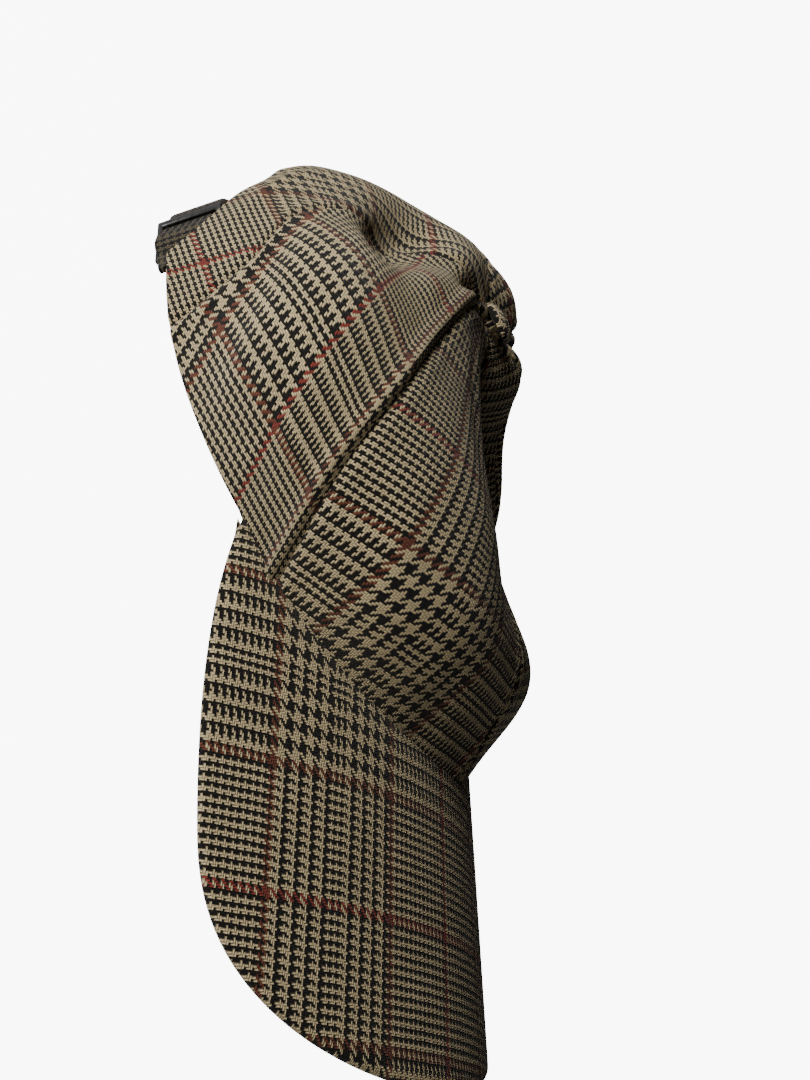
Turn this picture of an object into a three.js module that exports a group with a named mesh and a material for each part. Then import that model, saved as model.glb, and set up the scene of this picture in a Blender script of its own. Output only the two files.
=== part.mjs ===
// A soft six-panel cap in checked tweed, lying on a table on its peak and its back strap.
// Millimetres, +Z up. The peak points to -Y, the wearer's right side is -X.
// The forms are written in the cap's own frame, with the head opening level, and are then
// tipped by settle() into the way the cap lies by itself.

import * as THREE from 'three';

// Driving dimensions
const RIM_HALF_WIDTH = 81;
const RIM_FRONT = 101.5;
const RIM_BACK = 91;
const CLOTH = 1.6;
const SEAM_GAP = 0.35;
const BUTTON_PLACE = { back: 16, up: 77 };
const PANEL_TIP = 0.955;
const REST_PITCH = THREE.MathUtils.degToRad(11);
const MIDDLE_TO_BRIM = 38.3;

// Bent peak: a stiff sheet rolled round a cylinder that points forward and down
const PEAK = {
  pitch: THREE.MathUtils.degToRad(18.5), bendRadius: 109.3, crestHeight: 19.6, thickness: 3.2,
  reach: 76.5, halfWidth: 92.4, widestAt: 16, sewnHalfLength: 81.4, roundness: 0.84,
  shoulder: 0.58, knee: 0.65, cornerTrim: 0.985, columns: 40, rows: 8,
};

// The arched cut-out over the back strap, in ribs each side of the back and as a share of a rib
const ARCH = { halfWidth: 1.55, height: 0.33 };

// The sweatband's bottom and top are shares of the way from rim to button, its end is a rib.
const SWEATBAND = {
  thickness: 1.0, clearance: 0.9, bottom: 0.012, top: 0.19, end: 3.95, columns: 56, rows: 3,
};
const BUTTON = {
  radius: 6.6, height: 3.4, edge: 0.5, seat: 0.93, dome: 0.6, shankRadius: 1.5, shankLength: 3.4,
  lift: 3.0, rings: 6, sides: 20,
};
// A strap end is tucked inside the crown, the long piece at tuckDepth and the short at deepTuck.
const STRAP = {
  width: 15, thickness: 1.8, footHeight: 2.3, tuckDepth: 4.2, deepTuck: 9.5, tuckClimb: 0.07,
  stepsPerStop: 3,
};
const SLIDER = {
  height: 19.4, bar: 2.2, rail: 1.8, thickness: 1.8, bars: [-7.6, -1.2, 7.0], corner: 2.4,
  slotCorner: 0.6, clearance: 0.4, right: 56, back: 53.5, turn: THREE.MathUtils.degToRad(70),
};
const PANEL = { columns: 12, rows: 18 };

// Shape of the slumped crown along seven lines that climb from the rim to the button.
// foot: degrees round the rim from the front; rimUp: height of the rim there.
// out, turn and up hold the four stations between rim and button: distance from the
// button's axis, swing backwards in degrees, and height above the head opening.
const RIBS = [
  { name: 'front seam', foot: 0, rimUp: 20.0,
    out: [98, 73, 45, 21], turn: [0, 0, 0, 0], up: [46, 53, 60, 68] },
  { name: 'front panel', foot: 30, rimUp: 15.8,
    out: [103, 83, 55, 28], turn: [2, 5, 9, 16], up: [42, 56, 64, 72] },
  { name: 'temple seam', foot: 56.6, rimUp: 10.6,
    out: [94, 78, 53, 27], turn: [9, 14.6, 20.7, 32], up: [34.5, 55, 67, 76] },
  { name: 'side panel', foot: 77.5, rimUp: 8.4,
    out: [89, 77, 54, 26], turn: [7, 16, 24, 30], up: [32, 54, 65, 73] },
  { name: 'side seam', foot: 97, rimUp: 10.0,
    out: [76, 66, 49, 25], turn: [7, 21, 29, 27], up: [33, 48, 65, 77] },
  { name: 'back panel', foot: 137, rimUp: 19.5,
    out: [68, 62, 44, 21], turn: [5, 10, 10, 8], up: [36, 54, 71, 83] },
  { name: 'back seam', foot: 180, rimUp: 17.0,
    out: [75, 69, 48, 22], turn: [0, 0, 0, 0], up: [32, 50, 70, 84] },
];

// Dents and ridges on that form. rib and climb give the middle, angle turns the fold from
// along the rim towards the button, depth is outwards, lengths in millimetres.
const FOLDS = [
  { name: 'sunk left front', rib: 10.6, climb: 0.45, angle: 75, length: 110, width: 29, depth: -21 },
  { name: 'left front hollow', rib: 11.25, climb: 0.72, angle: 20, length: 44, width: 17, depth: -19 },
  { name: 'left crest', rib: 8.6, climb: 0.84, angle: 15, length: 60, width: 15, depth: 8 },
  { name: 'valley over the side', rib: 3.95, climb: 0.68, angle: 12, length: 46, width: 10, depth: -9 },
  { name: 'ridge by the button', rib: 3.0, climb: 0.76, angle: 50, length: 40, width: 9, depth: 4 },
];
// A fold acts this far from its middle across the cloth, and dies out at the rim and button.
const FOLD_REACH = 30;
const FOLD_FADE = { rate: 6, end: 0.97 };
const RIB_COUNT = 12;
const STATIONS = 4;

function cubic(a, b, c, d, t) {
  return b + 0.5 * t * (c - a + t * (2 * a - 5 * b + 4 * c - d + t * (3 * (b - c) + d - a)));
}

// Ribs 0 to 6 go from the front round the wearer's right to the back, 7 to 11 mirror them.
function ribValue(index, read, mirrorSign) {
  const i = ((index % RIB_COUNT) + RIB_COUNT) % RIB_COUNT;
  return i <= 6 ? read(RIBS[i]) : mirrorSign * read(RIBS[RIB_COUNT - i]);
}

function aroundRim(rib, read, mirrorSign = 1) {
  const i = Math.floor(rib);
  const v = [-1, 0, 1, 2].map((k) => ribValue(i + k, read, mirrorSign));
  return cubic(...v, rib - i);
}

function footAngle(rib) {
  const at = (i) => {
    const turns = Math.floor(i / RIB_COUNT);
    const j = i - turns * RIB_COUNT;
    const deg = j <= 6 ? RIBS[j].foot : 360 - RIBS[RIB_COUNT - j].foot;
    return deg + 360 * turns;
  };
  const i = Math.floor(rib);
  return THREE.MathUtils.degToRad(cubic(at(i - 1), at(i), at(i + 1), at(i + 2), rib - i));
}

function rimPoint(rib) {
  const a = footAngle(rib);
  const reach = Math.cos(a) > 0 ? RIM_FRONT : RIM_BACK;
  return new THREE.Vector3(
    -RIM_HALF_WIDTH * Math.sin(a), -reach * Math.cos(a), aroundRim(rib, (r) => r.rimUp));
}

// The crown without its folds: climb runs from 0 at the rim to 1 at the button.
function smoothCrown(rib, climb) {
  const foot = rimPoint(rib);
  const start = Math.atan2(-foot.x, BUTTON_PLACE.back - foot.y);
  const line = [foot];
  for (let k = 0; k < STATIONS; k += 1) {
    const out = aroundRim(rib, (r) => r.out[k]);
    const angle = start + THREE.MathUtils.degToRad(aroundRim(rib, (r) => r.turn[k], -1));
    const up = aroundRim(rib, (r) => r.up[k]);
    line.push(new THREE.Vector3(
      -out * Math.sin(angle), BUTTON_PLACE.back - out * Math.cos(angle), up));
  }
  line.push(new THREE.Vector3(0, BUTTON_PLACE.back, BUTTON_PLACE.up));
  line.unshift(foot.clone().multiplyScalar(2).sub(line[1]));
  const last = line.length - 1;
  line.push(line[last].clone().multiplyScalar(2).sub(line[last - 1]));
  const spans = STATIONS + 1;
  const k = Math.min(Math.max(Math.floor(climb * spans), 0), spans - 1);
  const t = climb * spans - k;
  const mix = (axis) => cubic(...line.slice(k, k + 4).map((p) => p[axis]), t);
  return new THREE.Vector3(mix('x'), mix('y'), mix('z'));
}

const STEP = 0.02;

function directions(surface, rib, climb) {
  const low = Math.max(climb - STEP, 0);
  const high = Math.min(climb + STEP, 1);
  const along = surface(rib + STEP, climb).sub(surface(rib - STEP, climb)).normalize();
  const upward = surface(rib, high).sub(surface(rib, low));
  upward.addScaledVector(along, -upward.dot(along)).normalize();
  const outward = new THREE.Vector3().crossVectors(upward, along).normalize();
  return { along, upward, outward };
}

const FOLD_FRAMES = FOLDS.map((fold) => {
  const { along, upward, outward } = directions(smoothCrown, fold.rib, fold.climb);
  const a = THREE.MathUtils.degToRad(fold.angle);
  const lengthwise = along.clone().multiplyScalar(Math.cos(a)).addScaledVector(upward, Math.sin(a));
  const across = upward.clone().multiplyScalar(Math.cos(a)).addScaledVector(along, -Math.sin(a));
  return { ...fold, middle: smoothCrown(fold.rib, fold.climb), lengthwise, across, outward };
});

function crown(rib, climb) {
  const point = smoothCrown(rib, climb);
  const toEnds = Math.min(climb, FOLD_FADE.end - climb) * FOLD_FADE.rate;
  const fade = Math.min(1, Math.max(0, toEnds));
  let push = 0;
  for (const fold of FOLD_FRAMES) {
    const d = point.clone().sub(fold.middle);
    const l = Math.abs(d.dot(fold.lengthwise)) / (fold.length / 2);
    const w = d.dot(fold.across) / fold.width;
    const h = d.dot(fold.outward) / FOLD_REACH;
    push += fold.depth * Math.exp(-(l ** 3) - w * w - h * h);
  }
  return point.addScaledVector(directions(smoothCrown, rib, climb).outward, push * fade);
}

// How the cap lies: tipped back onto its peak and strap, with the peak's edges on the table.
function tip(p) {
  const c = Math.cos(REST_PITCH);
  const s = Math.sin(REST_PITCH);
  return new THREE.Vector3(p.x, p.y * c + p.z * s, -p.y * s + p.z * c);
}

// Peak surface: side is the arc length from the middle line, forward runs along the peak.
function peakPoint(side, forward, depth = 0) {
  const bend = side / PEAK.bendRadius;
  const radius = PEAK.bendRadius - depth;
  const across = radius * Math.sin(bend);
  const drop = PEAK.bendRadius - radius * Math.cos(bend);
  const c = Math.cos(PEAK.pitch);
  const s = Math.sin(PEAK.pitch);
  return new THREE.Vector3(
    -across, -RIM_FRONT - c * forward + s * drop, PEAK.crestHeight - s * forward - c * drop);
}

function peakSeam(side) {
  const bend = side / PEAK.bendRadius;
  const across = PEAK.bendRadius * Math.sin(bend);
  const drop = PEAK.bendRadius * (1 - Math.cos(bend));
  const rimY = -RIM_FRONT * Math.sqrt(1 - (across / RIM_HALF_WIDTH) ** 2);
  return (-RIM_FRONT + Math.sin(PEAK.pitch) * drop - rimY) / Math.cos(PEAK.pitch);
}

// Free edge of the peak from one corner (-1) over the tip (0) to the other corner (1)
function peakEdge(q) {
  const side = Math.sign(q);
  const a = Math.abs(q);
  if (a <= PEAK.shoulder) {
    const psi = (a / PEAK.shoulder) * Math.PI / 2;
    const rise = (PEAK.reach - PEAK.widestAt) * Math.max(Math.cos(psi), 0) ** PEAK.roundness;
    return [side * PEAK.halfWidth * Math.sin(psi), PEAK.widestAt + rise];
  }
  const t = (a - PEAK.shoulder) / (1 - PEAK.shoulder);
  const corner = [PEAK.sewnHalfLength, peakSeam(PEAK.sewnHalfLength)];
  const shoulder = [PEAK.halfWidth, PEAK.widestAt];
  const knee = [PEAK.halfWidth, shoulder[1] + (corner[1] - shoulder[1]) * PEAK.knee];
  const mix = (i) => (1 - t) ** 2 * shoulder[i] + 2 * t * (1 - t) * knee[i] + t * t * corner[i];
  return [side * mix(0), mix(1)];
}

const LIFT = (() => {
  let lowest = 0;
  for (let i = 0; i <= 200; i += 1) {
    const [side, forward] = peakEdge(i / 200);
    lowest = Math.min(lowest, tip(peakPoint(side, forward, PEAK.thickness)).z);
  }
  return -lowest;
})();

// Cloth that would go through the table is flattened on it. The origin is under the middle
// of the cap's length.
function settle(p) {
  const q = tip(p);
  q.y += MIDDLE_TO_BRIM;
  q.z = Math.max(q.z + LIFT, 0);
  return q;
}

// A closed sheet from two matching grids of points, outer and inner
function sheetBody(outer, inner) {
  const nu = outer.length;
  const nv = outer[0].length;
  const positions = [];
  for (const grid of [outer, inner]) {
    for (const row of grid) {
      for (const p of row) {
        positions.push(p.x, p.y, p.z);
      }
    }
  }
  const at = (side, i, j) => side * nu * nv + i * nv + j;
  const index = [];
  const quad = (a, b, c, d) => index.push(a, b, c, a, c, d);
  for (let i = 0; i < nu - 1; i += 1) {
    for (let j = 0; j < nv - 1; j += 1) {
      quad(at(0, i, j), at(0, i, j + 1), at(0, i + 1, j + 1), at(0, i + 1, j));
      quad(at(1, i, j), at(1, i + 1, j), at(1, i + 1, j + 1), at(1, i, j + 1));
    }
  }
  for (let j = 0; j < nv - 1; j += 1) {
    quad(at(0, 0, j), at(1, 0, j), at(1, 0, j + 1), at(0, 0, j + 1));
    quad(at(0, nu - 1, j), at(0, nu - 1, j + 1), at(1, nu - 1, j + 1), at(1, nu - 1, j));
  }
  for (let i = 0; i < nu - 1; i += 1) {
    quad(at(0, i, 0), at(0, i + 1, 0), at(1, i + 1, 0), at(1, i, 0));
    quad(at(0, i, nv - 1), at(1, i, nv - 1), at(1, i + 1, nv - 1), at(0, i + 1, nv - 1));
  }
  const geometry = new THREE.BufferGeometry();
  geometry.setAttribute('position', new THREE.Float32BufferAttribute(positions, 3));
  geometry.setIndex(index);
  geometry.computeVertexNormals();
  return geometry;
}

function grid(countU, countV, point) {
  return Array.from({ length: countU + 1 }, (_, i) => (
    Array.from({ length: countV + 1 }, (_, j) => point(i / countU, j / countV))));
}

// Where the cloth starts above the rim: nothing but the arch over the strap raises it.
function lowerEdge(rib) {
  const d = Math.abs(6 - rib) / ARCH.halfWidth;
  return d < 1 ? ARCH.height * Math.sqrt(1 - d * d) : 0;
}

function panel(firstRib) {
  const points = (depth) => grid(PANEL.columns, PANEL.rows, (u, v) => {
    const rib = firstRib + 2 * u;
    const low = lowerEdge(rib);
    const climb = low + (PANEL_TIP - low) * v;
    const { along, outward } = directions(crown, rib, climb);
    const sideways = [0, 1].includes(u) ? SEAM_GAP * (0.5 - u) : 0;
    return settle(crown(rib, climb).addScaledVector(along, sideways).addScaledVector(outward, -depth));
  });
  return sheetBody(points(0), points(CLOTH));
}

function sweatband() {
  const points = (depth) => grid(SWEATBAND.columns, SWEATBAND.rows, (u, v) => {
    const rib = -SWEATBAND.end + 2 * SWEATBAND.end * u;
    const climb = SWEATBAND.bottom + (SWEATBAND.top - SWEATBAND.bottom) * v;
    const { outward } = directions(crown, rib, climb);
    return settle(crown(rib, climb).addScaledVector(outward, -depth));
  });
  const outside = CLOTH + SWEATBAND.clearance;
  return sheetBody(points(outside), points(outside + SWEATBAND.thickness));
}

function peak() {
  const clear = 2 * SEAM_GAP;
  const points = (depth) => grid(PEAK.columns, PEAK.rows, (u, v) => {
    const q = 1 - 2 * u;
    const side = q * PEAK.sewnHalfLength;
    const [edgeSide, edgeForward] = peakEdge(q * PEAK.cornerTrim);
    const inner = peakSeam(side) + clear;
    const forward = inner + (edgeForward - inner) * v;
    return settle(peakPoint(side + (edgeSide - side) * v, forward, depth));
  });
  return sheetBody(points(0), points(PEAK.thickness));
}

// A cloth-covered button with a short shank through the hole where the panels meet
function button() {
  const { radius, height, edge, shankRadius, shankLength } = BUTTON;
  const profile = [
    new THREE.Vector2(0, -shankLength),
    new THREE.Vector2(shankRadius, -shankLength),
    new THREE.Vector2(shankRadius, 0),
    new THREE.Vector2(radius * BUTTON.seat, 0),
  ];
  for (let i = 0; i < BUTTON.rings; i += 1) {
    const a = (i / BUTTON.rings) * Math.PI / 2;
    profile.push(new THREE.Vector2(
      radius * Math.cos(a) ** BUTTON.dome, edge + (height - edge) * Math.sin(a)));
  }
  profile.push(new THREE.Vector2(0, height));
  return new THREE.LatheGeometry(profile, BUTTON.sides);
}

// A band of cloth on edge through pairs of points on its lower and upper edge
function band(stops) {
  const edges = [0, 1].map((k) => new THREE.CatmullRomCurve3(stops.map((stop) => stop[k])));
  const count = stops.length * STRAP.stepsPerStop;
  const rows = (side) => Array.from({ length: count + 1 }, (_, i) => {
    const t = i / count;
    return edges.map((edge) => {
      const along = edge.getTangent(t);
      const normal = new THREE.Vector3(-along.y, along.x, 0).normalize();
      const point = edge.getPoint(t).addScaledVector(normal, side * STRAP.thickness / 2);
      point.z = Math.max(point.z, 0);
      return point;
    });
  });
  return sheetBody(rows(1), rows(-1));
}

function upright(x, y, foot) {
  return [foot, foot + STRAP.width].map((up) => new THREE.Vector3(x, y, up));
}

// A strap end inside a back panel, at this rib, this much above the rim and this deep
function tuckedStop(rib, lift, depth) {
  const { outward } = directions(crown, rib, STRAP.tuckClimb);
  const { x, y } = settle(crown(rib, STRAP.tuckClimb).addScaledVector(outward, -depth));
  return upright(x, y, settle(rimPoint(rib)).z + lift);
}

// The strap between panel and slider, at a place in the rim's plane
function freeStop(right, back, foot) {
  const { x, y } = settle(new THREE.Vector3(-right, back, RIBS[3].rimUp));
  return upright(x, y, foot);
}

// Near the slider, along runs to the wearer's left and outward to the back.
const [SLIDER_SEAT] = freeStop(SLIDER.right, SLIDER.back, 0);
function sliderStop(along, outward, foot = STRAP.footHeight) {
  const c = Math.cos(SLIDER.turn);
  const s = Math.sin(SLIDER.turn);
  const x = SLIDER_SEAT.x + along * c - outward * s;
  return upright(x, SLIDER_SEAT.y + along * s + outward * c, foot);
}

// The strap's middle passes the slider at this distance.
const CLEAR = SLIDER.thickness / 2 + SLIDER.clearance + STRAP.thickness / 2;

// Short piece: from inside the right back panel to a loop round the slider's bar
function buckleStrap() {
  const bend = SLIDER.bars[0] + 0.7;
  return band([
    tuckedStop(4.1, 3, STRAP.deepTuck),
    tuckedStop(4.3, -1, STRAP.deepTuck),
    sliderStop(-17, -CLEAR - 1, 4),
    sliderStop(bend - 3.5, -CLEAR - 0.3, 2.8),
    sliderStop(bend, -CLEAR),
    sliderStop(bend + CLEAR * 0.75, -CLEAR * 0.7),
    sliderStop(bend + CLEAR, 0),
    sliderStop(bend + CLEAR * 0.75, CLEAR * 0.7),
    sliderStop(bend, CLEAR),
    sliderStop(-11.5, CLEAR, 2.8),
  ]);
}

// Long piece: from inside the left back panel across the back and through the slider, with
// its free end tucked under the right back panel's edge
function tailStrap() {
  const [right, middle, left] = SLIDER.bars;
  const over = CLEAR + STRAP.thickness + SLIDER.clearance;
  return band([
    tuckedStop(7.8, 1, STRAP.tuckDepth),
    tuckedStop(7.62, -2, STRAP.tuckDepth),
    freeStop(-62, 50, 3),
    freeStop(-38, 65, 0),
    freeStop(0, 74, 0),
    freeStop(34, 74, 0.8),
    sliderStop(14, -CLEAR - 1.5, 1.6),
    sliderStop(left, -CLEAR),
    sliderStop(left - 2.4, -CLEAR * 0.7),
    sliderStop(middle + 2.2, CLEAR * 0.8),
    sliderStop(middle, CLEAR + 0.2),
    sliderStop(middle - 2.8, over - 0.5),
    sliderStop(right, over + 0.2),
    sliderStop(-13, over, 3.2),
    tuckedStop(4.38, -5, STRAP.tuckDepth),
  ]);
}

function roundedRectangle(path, x0, y0, x1, y1, r) {
  path.moveTo(x0 + r, y0);
  path.lineTo(x1 - r, y0);
  path.absarc(x1 - r, y0 + r, r, -Math.PI / 2, 0, false);
  path.lineTo(x1, y1 - r);
  path.absarc(x1 - r, y1 - r, r, 0, Math.PI / 2, false);
  path.lineTo(x0 + r, y1);
  path.absarc(x0 + r, y1 - r, r, Math.PI / 2, Math.PI, false);
  path.lineTo(x0, y0 + r);
  path.absarc(x0 + r, y0 + r, r, Math.PI, Math.PI * 1.5, false);
  return path;
}

// Three-bar slider of dark metal, standing on its lower rail
function slider() {
  const { bars, bar, rail, height, thickness, corner } = SLIDER;
  const outline = roundedRectangle(
    new THREE.Shape(), bars[0] - bar / 2, 0, bars[2] + bar / 2, height, corner);
  for (let i = 0; i < 2; i += 1) {
    outline.holes.push(roundedRectangle(
      new THREE.Path(), bars[i] + bar / 2, rail, bars[i + 1] - bar / 2, height - rail,
      SLIDER.slotCorner));
  }
  const geometry = new THREE.ExtrudeGeometry(outline, {
    depth: thickness, bevelEnabled: false, curveSegments: 3,
  });
  geometry.translate(0, 0, -thickness / 2);
  return geometry;
}

const CLOTH_LOOK = { color: 0x6b6150, roughness: 0.95, metalness: 0 };
const cap = new THREE.Group();

function add(name, geometry, look) {
  const mesh = new THREE.Mesh(geometry, new THREE.MeshStandardMaterial(look));
  mesh.name = name;
  cap.add(mesh);
  return mesh;
}

const PANELS = [
  { name: 'front_panel_right', firstRib: 0 },
  { name: 'side_panel_right', firstRib: 2 },
  { name: 'back_panel_right', firstRib: 4 },
  { name: 'back_panel_left', firstRib: 6 },
  { name: 'side_panel_left', firstRib: 8 },
  { name: 'front_panel_left', firstRib: 10 },
];
for (const { name, firstRib } of PANELS) {
  add(name, panel(firstRib), CLOTH_LOOK);
}
add('peak', peak(), CLOTH_LOOK);
add('sweatband', sweatband(), { color: 0x1c1b1a, roughness: 0.6, metalness: 0 });
add('buckle_strap', buckleStrap(), { color: 0x4a4238, roughness: 0.95, metalness: 0 });
add('tail_strap', tailStrap(), { color: 0x3a332b, roughness: 0.95, metalness: 0 });

const top = add('top_button', button(), CLOTH_LOOK);
const seat = settle(new THREE.Vector3(0, BUTTON_PLACE.back, BUTTON_PLACE.up));
top.position.set(seat.x, seat.y, seat.z + BUTTON.lift);
top.rotation.x = Math.PI / 2 - REST_PITCH;

const buckle = add('slider_buckle', slider(), { color: 0x2b2a2c, roughness: 0.35, metalness: 0.9 });
buckle.position.copy(SLIDER_SEAT);
buckle.rotation.set(Math.PI / 2, SLIDER.turn, 0);

export default cap;
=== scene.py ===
import math

import bpy
import numpy as np
from mathutils import Matrix, Vector


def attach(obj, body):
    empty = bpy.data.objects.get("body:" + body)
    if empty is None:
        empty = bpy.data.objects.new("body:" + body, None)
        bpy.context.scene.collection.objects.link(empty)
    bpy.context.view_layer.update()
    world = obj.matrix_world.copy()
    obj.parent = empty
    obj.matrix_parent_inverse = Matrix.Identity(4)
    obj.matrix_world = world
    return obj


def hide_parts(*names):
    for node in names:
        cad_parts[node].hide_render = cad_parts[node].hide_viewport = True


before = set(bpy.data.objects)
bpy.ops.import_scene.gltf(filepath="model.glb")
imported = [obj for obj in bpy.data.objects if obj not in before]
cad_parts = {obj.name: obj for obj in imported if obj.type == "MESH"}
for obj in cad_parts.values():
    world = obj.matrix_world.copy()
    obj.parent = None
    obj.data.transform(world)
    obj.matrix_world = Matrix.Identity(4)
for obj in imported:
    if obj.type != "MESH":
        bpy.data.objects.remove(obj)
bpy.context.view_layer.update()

# Floor, light and camera. A pale floor that glows as a light table does, walls that are dim
# overhead and in front of the peak, and one soft lamp low beside the back strap. The camera
# sees floor and walls near white, and it is rolled, so the peak points down in the picture.
CAMERA_PLACE = Vector((-0.3383, -0.1123, 0.1185))
CAMERA_AIM = Vector((0.0, 0.0113, 0.0394))
CAMERA_ROLL = math.radians(74.75)
CAMERA_LENS_MM = 43.3
FLOOR_SIDE = 14.0
FLOOR_DROP = 0.0002
FLOOR_ALBEDO = 0.7
FLOOR_GLOW = 0.5
SEEN_GLOW = 9.0
# The walls' glow by the height and the way back of a line of sight, between -1 and 1
WALL_GLOW = 0.75
WALL_ENDS = 0.06
CEILING_GLOW = 0.03
CEILING_STARTS = 0.3
FRONT_SHADE = 0.1
FRONT_ENDS = -0.85
BACK_STARTS = 0.25
LAMP_PLACE = Vector((-0.78, 0.42, 0.12))
LAMP_AIM = Vector((0, 0, 0.04))
LAMP_SIZE = 0.4
LAMP_WATTS = 9.6

bpy.ops.object.select_all(action="DESELECT")
bpy.ops.mesh.primitive_plane_add(size=FLOOR_SIDE, location=(0, 0, -FLOOR_DROP))
floor = bpy.context.object
floor.name = "floor"
bpy.ops.object.transform_apply(location=True)
floor_look = bpy.data.materials.new("pale_floor")
floor_look.use_nodes = True
floor_shader = floor_look.node_tree.nodes["Principled BSDF"]
floor_shader.inputs["Base Color"].default_value = (FLOOR_ALBEDO, FLOOR_ALBEDO, FLOOR_ALBEDO, 1)
floor_shader.inputs["Roughness"].default_value = 1.0
floor_shader.inputs["Specular IOR Level"].default_value = 0.0
floor_shader.inputs["Emission Color"].default_value = (1, 1, 1, 1)
floor_tree = floor_look.node_tree
floor_ray = floor_tree.nodes.new("ShaderNodeLightPath")
floor_seen = floor_tree.nodes.new("ShaderNodeMapRange")
floor_seen.inputs["To Min"].default_value = FLOOR_GLOW
floor_seen.inputs["To Max"].default_value = SEEN_GLOW
floor_tree.links.new(floor_ray.outputs["Is Camera Ray"], floor_seen.inputs["Value"])
floor_tree.links.new(floor_seen.outputs[0], floor_shader.inputs["Emission Strength"])
floor.data.materials.append(floor_look)

world = bpy.data.worlds.new("pale_room")
world.use_nodes = True
room = world.node_tree
room_way = room.nodes.new("ShaderNodeTexCoord")
room_height = room.nodes.new("ShaderNodeSeparateXYZ")
room.links.new(room_way.outputs["Generated"], room_height.inputs[0])
room_walls = room.nodes.new("ShaderNodeMapRange")
room_walls.interpolation_type = "SMOOTHSTEP"
room_walls.inputs["From Min"].default_value = WALL_ENDS
room_walls.inputs["From Max"].default_value = CEILING_STARTS
room_walls.inputs["To Min"].default_value = WALL_GLOW
room_walls.inputs["To Max"].default_value = CEILING_GLOW
room.links.new(room_height.outputs[2], room_walls.inputs["Value"])
room_front = room.nodes.new("ShaderNodeMapRange")
room_front.interpolation_type = "SMOOTHSTEP"
room_front.inputs["From Min"].default_value = FRONT_ENDS
room_front.inputs["From Max"].default_value = BACK_STARTS
room_front.inputs["To Min"].default_value = FRONT_SHADE
room_front.inputs["To Max"].default_value = 1.0
room.links.new(room_height.outputs[1], room_front.inputs["Value"])
room_glow = room.nodes.new("ShaderNodeMath")
room_glow.operation = "MULTIPLY"
room.links.new(room_walls.outputs[0], room_glow.inputs[0])
room.links.new(room_front.outputs[0], room_glow.inputs[1])
room_ray = room.nodes.new("ShaderNodeLightPath")
room_seen = room.nodes.new("ShaderNodeMapRange")
room_seen.inputs["To Max"].default_value = SEEN_GLOW
room.links.new(room_ray.outputs["Is Camera Ray"], room_seen.inputs["Value"])
room.links.new(room_glow.outputs[0], room_seen.inputs["To Min"])
room.links.new(room_seen.outputs[0], room.nodes["Background"].inputs["Strength"])
room.nodes["Background"].inputs["Color"].default_value = (1, 1, 1, 1)
bpy.context.scene.world = world

bpy.ops.object.light_add(type="AREA", location=LAMP_PLACE)
lamp = bpy.context.object
lamp.name = "key"
lamp.data.energy = LAMP_WATTS
lamp.data.size = LAMP_SIZE
lamp.rotation_euler = (LAMP_AIM - LAMP_PLACE).to_track_quat("-Z", "Y").to_euler()

bpy.ops.object.camera_add(location=CAMERA_PLACE)
camera = bpy.context.object
facing = (CAMERA_AIM - CAMERA_PLACE).to_track_quat("-Z", "Y").to_matrix()
camera.rotation_euler = (facing @ Matrix.Rotation(CAMERA_ROLL, 3, "Z")).to_euler()
camera.data.lens = CAMERA_LENS_MM
camera.data.clip_start = 0.01
bpy.context.scene.camera = camera


# Crown panels. Six gores of wool tweed in a glen check, cut with the threads square to their
# lower edge, sewn to each other with the allowances turned in, and left soft, so the crown
# has slumped into folds. Written in the cap's own frame in millimetres, rim level.
RIM_HALF_WIDTH = 81.0
RIM_FRONT = 101.5
RIM_BACK = 91.0
BUTTON_BACK = 16.0
BUTTON_UP = 77.0
REST_PITCH = math.radians(11)
CLOTH = 1.4
SEAM_GAP = -0.5
PANEL_TIP = 0.972
COLUMNS = 88
ROWS = 132

# One row for each line from rim to button, from the front round the wearer's right to the
# back. foot is the angle round the rim, out, turn and up are the four stations on the way.
RIBS = [
    {"foot": 0.0, "rim_up": 20.0,
     "out": (98, 73, 45, 21), "turn": (0, 0, 0, 0), "up": (46, 53, 60, 68)},
    {"foot": 30.0, "rim_up": 15.8,
     "out": (103, 83, 55, 28), "turn": (2, 5, 9, 16), "up": (42, 56, 64, 72)},
    {"foot": 56.6, "rim_up": 10.6,
     "out": (94, 78, 53, 27), "turn": (9, 14.6, 20.7, 32), "up": (34.5, 55, 67, 76)},
    {"foot": 77.5, "rim_up": 8.4,
     "out": (89, 77, 54, 26), "turn": (7, 16, 24, 30), "up": (32, 54, 65, 73)},
    {"foot": 97.0, "rim_up": 10.0,
     "out": (76, 66, 49, 25), "turn": (7, 21, 29, 27), "up": (33, 48, 65, 77)},
    {"foot": 137.0, "rim_up": 19.5,
     "out": (68, 62, 44, 21), "turn": (5, 10, 10, 8), "up": (36, 54, 71, 83)},
    {"foot": 180.0, "rim_up": 17.0,
     "out": (75, 69, 48, 22), "turn": (0, 0, 0, 0), "up": (32, 50, 70, 84)},
]
RIB_COUNT = 12
BACK_RIB = 6
STATIONS = 4
# rib and climb are the fold's middle, angle its turn from the level, depth its push outwards.
FOLDS = [
    {"rib": 10.6, "climb": 0.45, "angle": 75, "length": 110, "width": 29, "depth": -21},
    {"rib": 11.25, "climb": 0.72, "angle": 20, "length": 44, "width": 17, "depth": -19},
    {"rib": 8.6, "climb": 0.84, "angle": 15, "length": 60, "width": 15, "depth": 8},
    {"rib": 3.95, "climb": 0.68, "angle": 12, "length": 46, "width": 10, "depth": -9},
    {"rib": 3.0, "climb": 0.76, "angle": 50, "length": 40, "width": 9, "depth": 4},
]
FOLD_REACH = 30.0
FOLD_FADE_RATE = 6.0
FOLD_FADE_END = 0.97
STEP = 0.02


def cubic(a, b, c, d, t):
    return b + 0.5 * t * (c - a + t * (2 * a - 5 * b + 4 * c - d + t * (3 * (b - c) + d - a)))


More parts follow.
